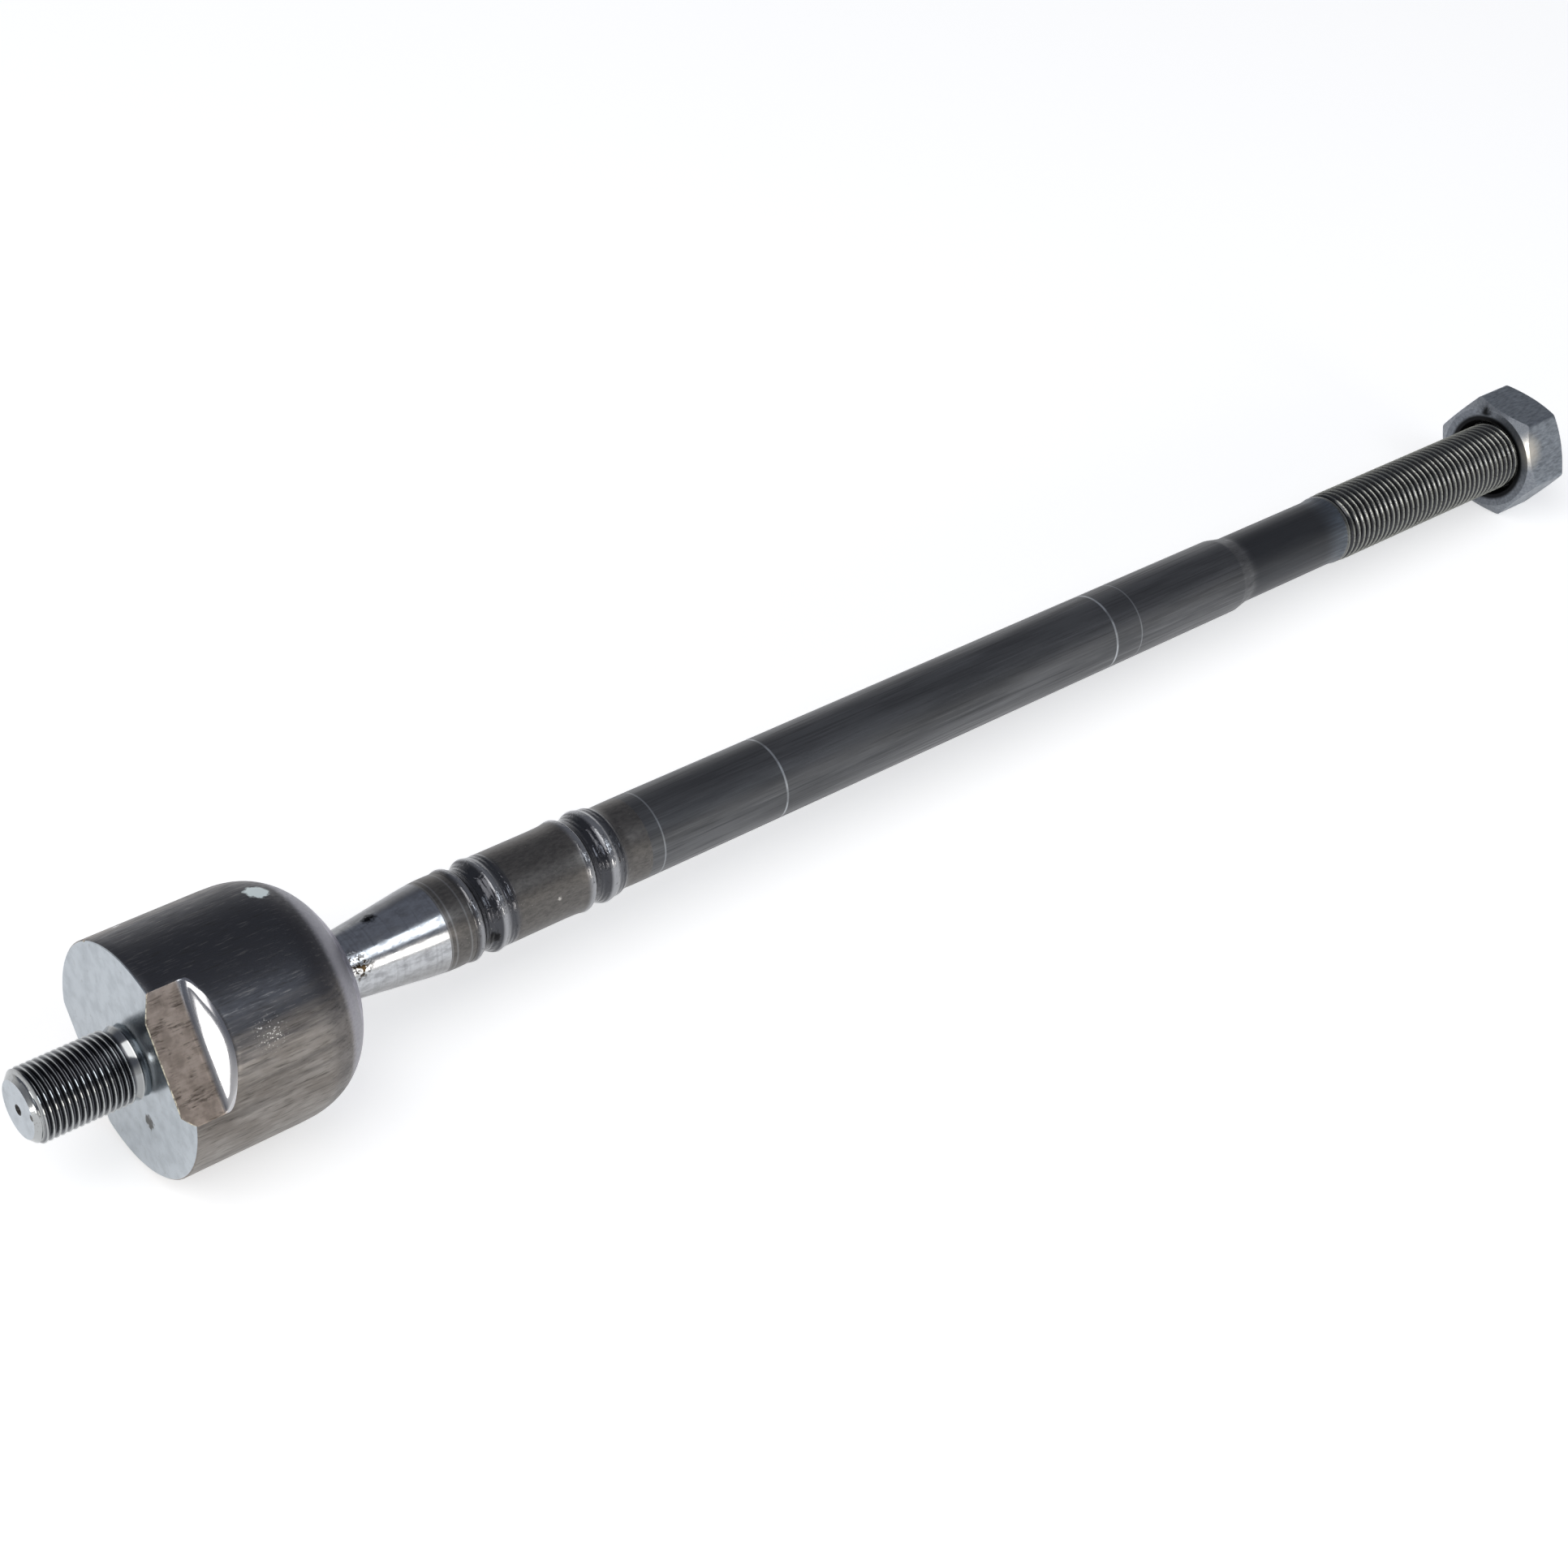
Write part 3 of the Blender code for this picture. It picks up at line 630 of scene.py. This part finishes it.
# Painted shade: darker towards the underside and towards the upper back.
shaded_underside = towards(tree, own, NECK_SHADED_UNDERSIDE_TURN)
tone = layer(tree, tone, "#8A8886", shaded_underside, 2.2, 5.2, 0.6)
shaded_back = towards(tree, own, NECK_SHADED_BACK_TURN)
tone = layer(tree, tone, "#6C6D71", shaded_back, 3.6, 5.8, 0.8)
rings = mottle(tree, own, (1, 0.05, 0.05), 0.5, detail=4)
tone = layer(tree, tone, "#77787A", rings, 0.5, 0.7, 0.25)
stain = patch_at(tree, own, (42.5, 6.3, 102), 1.5, soft=0.8, ragged=1.4)
tone = add(tree, "MixRGB", stain, tone, linear("#16171B"))
drops = mottle(tree, own, (1, 1, 1), 0.55, detail=3)
drops = add(tree, "MapRange", drops, 0.5, 0.58, **SMOOTH)
wet = patch_at(tree, own, (36.9, 5.7, 38), 3.0, soft=0.6, ragged=0.6)
wet = add(tree, "Math", drops, wet, operation="MULTIPLY")
tone = add(tree, "MixRGB", wet, tone, linear("#3B2F1E"))
bump = add(tree, "Bump", inputs={"Height": wet, "Strength": 0.5, "Distance": 0.0001})
fill(shader, {
    "Base Color": tone,
    "Metallic": 1.0,
    "Roughness": add(tree, "MapRange", clouds, 0.3, 0.7, 0.1, 0.26, **SMOOTH),
    "Normal": bump,
})

# Boot seat: phosphated, brownish and dull on the band, and running with oil round the beads, where
# drops glitter. The beads' crests are toned bright over darker metal, painted highlight lines. Fine
# ring lines turned into the shoulder before the first bead are drawn as pale lines, a painted
# highlight, and the beads' finest ridges, 0.9 mm apart, are bump on top of the mesh's form.
oiled, tree, shader, own = new_finish("oiled_boot_seat_steel")
place = add(tree, "SeparateXYZ", own).outputs["X"]
radius = off_axis(tree, own)
clouds = mottle(tree, own, (0.4, 1, 1), 0.5, detail=5, roughness=0.7)
tone = layer(tree, "#6E6B68", "#595755", clouds, 0.35, 0.7)
inner_bead = line_round(tree, place, 61.4, 4.7, soft=0.3)
outer_bead = line_round(tree, place, 83.2, 4.6, soft=0.3)
beads = add(tree, "Math", inner_bead, outer_bead, operation="MAXIMUM")
drops = mottle(tree, own, (1, 0.5, 0.5), 0.45, detail=3)
# Painted highlight: the beads' crests are toned bright as highlight lines, the lower metal dark.
bead_tone_painted_crests = layer(tree, "#4A4B4F", "#A2A3A6", radius, 7.6, 7.92)
tone = add(tree, "MixRGB", beads, tone, bead_tone_painted_crests)
runs = add(tree, "MapRange", drops, 0.6, 0.68, 0, 0.6, **SMOOTH)
runs = add(tree, "Math", beads, runs, operation="MULTIPLY")
tone = add(tree, "MixRGB", runs, tone, linear("#2B2A29"))
# Painted highlight: three pale lines where fine turned rings on the shoulder catch the light.
for at in (52.6, 53.5, 56.2):
    ring = add(tree, "Math", line_round(tree, place, at, 0.22), 0.35, operation="MULTIPLY")
    tone = add(tree, "MixRGB", ring, tone, linear("#A5A6A8"))
blob = patch_at(tree, own, (60.5, 7.4, -3), 1.6, soft=0.4, ragged=0.6)
tone = add(tree, "MixRGB", blob, tone, linear("#121214"))
scratch = patch_at(tree, own, (73.2, 7.65, 16), 0.45, soft=0.8, ragged=0.5)
tone = add(tree, "MixRGB", scratch, tone, linear("#C8C4BE"))
specks = mottle(tree, own, (1, 1, 1), 0.28, detail=3)
tone = layer(tree, tone, "#B5B2AD", specks, 0.7, 0.76)
ridges = add(tree, "Math", place, 2 * math.pi / BEAD_RIDGES, operation="MULTIPLY")
ridges = add(tree, "Math", ridges, operation="SINE")
relief = add(tree, "MapRange", drops, 0.45, 0.65, 0, 0.7, **SMOOTH)
relief = add(tree, "Math", relief, ridges, operation="ADD")
relief = add(tree, "Math", beads, relief, operation="MULTIPLY")
bump = add(tree, "Bump", inputs={"Height": relief, "Strength": 0.6, "Distance": 0.00005})
fill(shader, {
    "Base Color": tone,
    "Metallic": 0.8,
    "Roughness": add(tree, "MapRange", beads, 0, 1, 0.36, 0.09, **SMOOTH),
    "Normal": bump,
})

# Phosphated bar: a charcoal coat on drawn steel, with faint drawing lines along the axis, darker on
# the reduced end and rubbed pale on the cone before the thread. A few thin pale rings are left by
# the clamps that held it.
coated, tree, shader, own = new_finish("phosphated_drawn_bar")
place = add(tree, "SeparateXYZ", own).outputs["X"]
lines = mottle(tree, own, (0.02, 1, 1), 0.45, detail=5, roughness=0.65)
clouds = mottle(tree, own, (0.12, 1, 1), 3.0, detail=4)
tone = layer(tree, "#696A6C", "#57585A", clouds, 0.35, 0.65)
tone = layer(tree, tone, "#3E3F41", lines, 0.5, 0.7, 0.6)
tone = layer(tree, tone, "#8C8D8F", lines, 0.46, 0.3, 0.35)
tone = layer(tree, tone, "#3C3E42", place, step_end - 1.0, step_end + 1.5, 0.75)
cone = add(tree, "MapRange", place, 259.5, 266.0, **SMOOTH)
rubbed_lines = add(tree, "MapRange", lines, 0.25, 0.6, 0.7, 0.3, **SMOOTH)
cone = add(tree, "Math", cone, rubbed_lines, operation="MULTIPLY")
tone = add(tree, "MixRGB", cone, tone, linear("#7F8994"))
broken = mottle(tree, own, (1, 0.6, 0.6), 2.2, detail=5)
for at, width, strength in (
    (95.0, 0.22, 0.4), (121.3, 0.3, 0.8), (201.0, 0.34, 0.9), (207.5, 0.22, 0.3),
):
    worn = add(tree, "MapRange", broken, 0.35, 0.55, 0.35, strength, **SMOOTH)
    worn = add(tree, "Math", line_round(tree, place, at, width), worn, operation="MULTIPLY")
    tone = add(tree, "MixRGB", worn, tone, linear("#C4C8CC"))
bump = add(tree, "Bump", inputs={"Height": lines, "Strength": 0.2, "Distance": 0.00003})
fill(shader, {
    "Base Color": tone,
    "Metallic": 0.8,
    "Roughness": add(tree, "MapRange", lines, 0.3, 0.7, 0.32, 0.44, **SMOOTH),
    "Normal": bump,
})

# Rolled rod thread: thin crest lines rubbed bright, wide valleys dark and wet with oil.
rolled, tree, shader, own = new_finish("oiled_rod_thread")
radius = off_axis(tree, own)
crests = add(tree, "MapRange", radius, THREAD_RADIUS - 0.3, THREAD_RADIUS - 0.08, **SMOOTH)
specks = mottle(tree, own, (1, 1, 1), 0.4, detail=4)
tone = add(tree, "MixRGB", crests, linear("#444548"), linear("#94958F"))
tone = layer(tree, tone, "#3A3734", specks, 0.54, 0.66, 0.7)
fill(shader, {
    "Base Color": tone,
    "Metallic": 0.9,
    "Roughness": add(tree, "MapRange", specks, 0.3, 0.7, 0.16, 0.3, **SMOOTH),
})

for finish_made in (polished, oiled, coated, rolled):
    rod.data.materials.append(finish_made)


# The lock nut: a hexagon cold formed from bar, faced and chamfered at both ends, phosphated thinly
# blue-grey. It turns on the rod's thread, and its bore is countersunk.

NUT_START = 318.3
NUT_HEIGHT = 11.0
NUT_ACROSS = 22.0
NUT_BORE = 7.25
NUT_COUNTERSINK = 0.75
NUT_CHAMFER = math.radians(30)
NUT_FACE = 0.95 * NUT_ACROSS / 2
NUT_CORNER = 0.8
NUT_TURN = math.radians(30)
NUT_GAP = 0.06  # between the chamfer's edge and the side's first row
NUT_FACED, NUT_WORN, NUT_SIDE, NUT_INSIDE = range(4)

away = np.radians([-29.6, -29.2, -28, -25, -20, -14, -7, 0, 7, 14, 20, 25, 28, 29.2, 29.6, 30])
nut_turns = np.concatenate([away + math.radians(60 * side) for side in range(6)]) + NUT_TURN
nut_turns = np.concatenate([nut_turns, nut_turns[:1] + 2 * math.pi])


def hexagon(turns):
    """The hexagon's radius: half across flats / cos(turn from the flat's middle), and near a corner
    the near side of a circle of the corner's radius, centred inside the corner."""
    off = (turns - NUT_TURN + math.pi / 6) % (math.pi / 3) - math.pi / 6
    centre = (NUT_ACROSS / 2 - NUT_CORNER) / math.cos(math.pi / 6)
    to_corner = math.pi / 6 - np.abs(off)
    limit = math.pi / 6 - math.atan(centre * 0.5 / (NUT_ACROSS / 2))
    bend = np.sqrt(np.maximum(NUT_CORNER**2 - (centre * np.sin(to_corner)) ** 2, 0))
    bend = centre * np.cos(to_corner) + bend
    return np.where(to_corner < limit, bend, NUT_ACROSS / 2 / np.cos(off))


hex_radius = hexagon(nut_turns)
fall = (hex_radius - NUT_FACE) * math.tan(NUT_CHAMFER)
down = np.array([0.0, 0.03, 0.35, 0.7, 0.97, 1.0])
cone_rows = fall[None, :] * down[:, None]
cone_radii = NUT_FACE + (hex_radius - NUT_FACE)[None, :] * down[:, None]
side_height = NUT_HEIGHT - 2 * (fall + NUT_GAP)
side_rows = (fall + NUT_GAP)[None, :] + side_height[None, :] * np.linspace(0, 1, 6)[:, None]
hexagon_rows = np.concatenate([cone_rows, side_rows, NUT_HEIGHT - cone_rows[::-1]])
hexagon_radii = np.concatenate([cone_radii, np.tile(hex_radius, (6, 1)), cone_radii[::-1]])
hexagon_grid = (hexagon_rows, hexagon_radii, np.broadcast_to(nut_turns, hexagon_rows.shape))
sink = NUT_BORE + NUT_COUNTERSINK
face_radii = [sink, sink + 0.12, 0.5 * (sink + NUT_FACE), NUT_FACE - 0.08]
first_face = ringed([(0, radius) for radius in face_radii], nut_turns)
bore = [
    (NUT_HEIGHT, sink), (NUT_HEIGHT - NUT_COUNTERSINK, NUT_BORE), (NUT_COUNTERSINK, NUT_BORE),
    (0, sink),
]
last_face = ringed([(NUT_HEIGHT, radius) for radius in face_radii[::-1]] + bore, nut_turns)
along, radius, turn = joined(first_face, hexagon_grid, last_face)
nut_kinds = [NUT_FACED, NUT_WORN, NUT_SIDE, NUT_WORN, NUT_FACED, NUT_INSIDE]
nut_finish = np.repeat(nut_kinds, [3, 6, 6, 6, 3, 5])  # rows of faces, from front face to bore
nut = skin("hexagon_nut", [(along + NUT_START, radius, turn, nut_finish)], sharp=20)
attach(nut, "nut")
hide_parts("lock_nut")

# Thinly phosphated nut: blue-grey steel with darker streaks along its sides. Oil from the thread
# has run over the front face and blackened it on one side, and one front corner is worn bright.
for name, dark, pale, rough in (
    ("phosphated_nut_face", "#646870", "#8A8F96", 0.3),
    ("worn_nut_chamfer", "#747880", "#9A9FA5", 0.26),
    ("phosphated_nut_side", "#6C7178", "#A2A9B1", 0.36),
    ("oiled_nut_bore", "#101010", "#1C1B1A", 0.25),
):
    made, tree, shader, own = new_finish(name)
    place = add(tree, "SeparateXYZ", own).outputs["X"]
    radius = off_axis(tree, own)
    clouds = mottle(tree, own, (0.3, 1, 1), 0.55, detail=5, roughness=0.6)
    tone = layer(tree, pale, dark, clouds, 0.2, 0.85)
    ring = add(tree, "MapRange", radius, NUT_BORE + 2.1, NUT_BORE + 1.3, **SMOOTH)
    drip = patch_at(tree, own, (NUT_START, 9.7, 110), 2.0, soft=0.9, ragged=1.0)
    front = add(tree, "MapRange", place, NUT_START + 3, NUT_START + 1, **SMOOTH)
    oil = add(tree, "Math", drip, ring, operation="MAXIMUM")
    oil = add(tree, "Math", oil, front, operation="MULTIPLY")
    tone = add(tree, "MixRGB", oil, tone, linear("#161719"))
    worn = patch_at(tree, own, (NUT_START + 0.5, 11.5, 36), 4.6, soft=1.0, ragged=0.8)
    dry = add(tree, "MapRange", oil, 1, 0, 0, 0.9, **SMOOTH)
    worn = add(tree, "Math", worn, dry, operation="MULTIPLY")
    tone = add(tree, "MixRGB", worn, tone, linear("#E6DFD2"))
    fill(shader, {
        "Base Color": tone,
        "Metallic": 0.85,
        "Roughness": add(tree, "MapRange", clouds, 0.3, 0.7, rough, rough + 0.1, **SMOOTH),
    })
    nut.data.materials.append(made)


# The ball's seats and their spring: two moulded acetal shells that hold the ball, and the coned
# disc spring behind them. They are inside the cup, and only the front seat's edge shows.

acetal, tree, shader, own = new_finish("greased_acetal")
clouds = mottle(tree, own, (1, 1, 1), 1.5)
tone = layer(tree, "#DDD9CC", "#B9AE90", clouds, 0.4, 0.65)
fill(shader, {"Base Color": tone, "Roughness": 0.35})
spring_steel, tree, shader, own = new_finish("blued_spring_steel")
clouds = mottle(tree, own, (1, 1, 1), 2.0)
tone = layer(tree, "#5B5C60", "#6E6A66", clouds, 0.4, 0.65)
fill(shader, {"Base Color": tone, "Metallic": 1.0, "Roughness": 0.35})
for node_name, own_finish in (
    ("front_ball_seat", acetal), ("rear_ball_seat", acetal), ("disc_spring", spring_steel),
):
    for slot in frame["nodes"][node_name].material_slots:
        slot.material = own_finish


# The studio: a plain white floor, pale walls that fade upwards into a dim bluish room, and soft
# boxes beside and behind the rod. The camera stands where the photograph's stood.

CAMERA_PLACE = (-177.716, -264.888, 316.977)
CAMERA_RIGHT = (0.75642, -0.64052, 0.13254)
CAMERA_UP = (0.33936, 0.55754, 0.75761)
CAMERA_AHEAD = (0.55915, 0.52809, -0.63911)
LENS = 67.34


def level(vector):
    """A direction given along the axis, sideways and up, as one in the scene."""
    return Vector(vector[0] * AXIS + vector[1] * SIDE + vector[2] * RISE)


centre = CUP_FACE + 0.0245 * AXIS
camera = bpy.data.objects.new("photo_camera", bpy.data.cameras.new("photo_camera"))
camera.data.lens = LENS
camera.data.clip_start = 0.01
camera.matrix_world = Matrix.LocRotScale(
    Vector(centre) + level(CAMERA_PLACE) / 1000,
    Matrix((level(CAMERA_RIGHT), level(CAMERA_UP), -level(CAMERA_AHEAD))).transposed(),
    None,
)
bpy.context.scene.collection.objects.link(camera)
bpy.context.scene.camera = camera

floor_mesh = bpy.data.meshes.new("floor")
floor_mesh.from_pydata([(-4, -4, 0), (4, -4, 0), (4, 4, 0), (-4, 4, 0)], [], [(0, 1, 2, 3)])
floor = bpy.data.objects.new("floor", floor_mesh)
bpy.context.scene.collection.objects.link(floor)
paper = bpy.data.materials.new("white_paper_floor")
paper.use_nodes = True
tree = paper.node_tree
tree.nodes.clear()
sheet = add(tree, "BsdfDiffuse", inputs={"Color": (0.82, 0.82, 0.82, 1)})
path = add(tree, "LightPath").outputs
from_part = add(tree, "VectorMath", add(tree, "TexCoord").outputs["Object"], operation="LENGTH")
far_off = add(tree, "MapRange", from_part.outputs["Value"], 0.6, 1.5, 0.14, 0.7, **SMOOTH)
whiter = add(tree, "Math", path["Is Camera Ray"], far_off, 0.4, operation="MULTIPLY_ADD")
glow = add(tree, "Emission", inputs={"Color": (1, 1, 1, 1), "Strength": whiter})
bright = add(tree, "AddShader", sheet, glow)
seen = add(tree, "Math", path["Is Camera Ray"], path["Is Glossy Ray"], operation="MAXIMUM")
add(tree, "OutputMaterial", inputs={"Surface": add(tree, "MixShader", seen, sheet, bright)})
floor_mesh.materials.append(paper)

world = bpy.data.worlds.new("dim_room")
bpy.context.scene.world = world
world.use_nodes = True
tree = world.node_tree
tree.nodes.clear()
height = add(tree, "SeparateXYZ", add(tree, "TexCoord").outputs["Generated"]).outputs["Z"]
walls = layer(tree, (0.74, 0.74, 0.74, 1), (0.14, 0.15, 0.18, 1), height, 0.0, 0.55)
room = add(tree, "Background", inputs={"Color": walls})
white = add(tree, "Background", inputs={"Color": (1, 1, 1, 1)})
seen = add(tree, "LightPath").outputs["Is Camera Ray"]
add(tree, "OutputWorld", inputs={"Surface": add(tree, "MixShader", seen, room, white)})


def soft_box(name, azimuth, elevation, distance, width, height, radiance, tint):
    """A rectangular lamp that faces the part, by angles in degrees and sizes in metres. Its power
    is radiance times pi times its area."""
    lamp = bpy.data.lights.new(name, "AREA")
    lamp.shape = "RECTANGLE"
    lamp.size, lamp.size_y = width, height
    lamp.energy = radiance * math.pi * width * height
    lamp.color = tint
    box = bpy.data.objects.new(name, lamp)
    turn, tilt = math.radians(azimuth), math.radians(elevation)
    level_share = math.cos(tilt)
    away = Vector((math.cos(turn) * level_share, math.sin(turn) * level_share, math.sin(tilt)))
    box.location = Vector((0, 0, 0.02)) + away * distance
    box.rotation_euler = away.to_track_quat("Z", "Y").to_euler()
    bpy.context.scene.collection.objects.link(box)


soft_box("warm_box", -86, 15, 1.2, 0.36, 0.34, 4.2, (1.0, 0.95, 0.88))
soft_box("cool_box", -76, 51, 1.2, 0.4, 0.46, 3.0, (0.88, 0.94, 1.0))
soft_box("low_box", -158, 9, 1.33, 0.36, 0.3, 6.5, (1.0, 0.99, 0.97))
soft_box("soft_key", -170, 55, 1.6, 1.3, 1.3, 2.2, (1.0, 0.99, 0.97))

view = bpy.context.scene.view_settings
view.view_transform = "Standard"
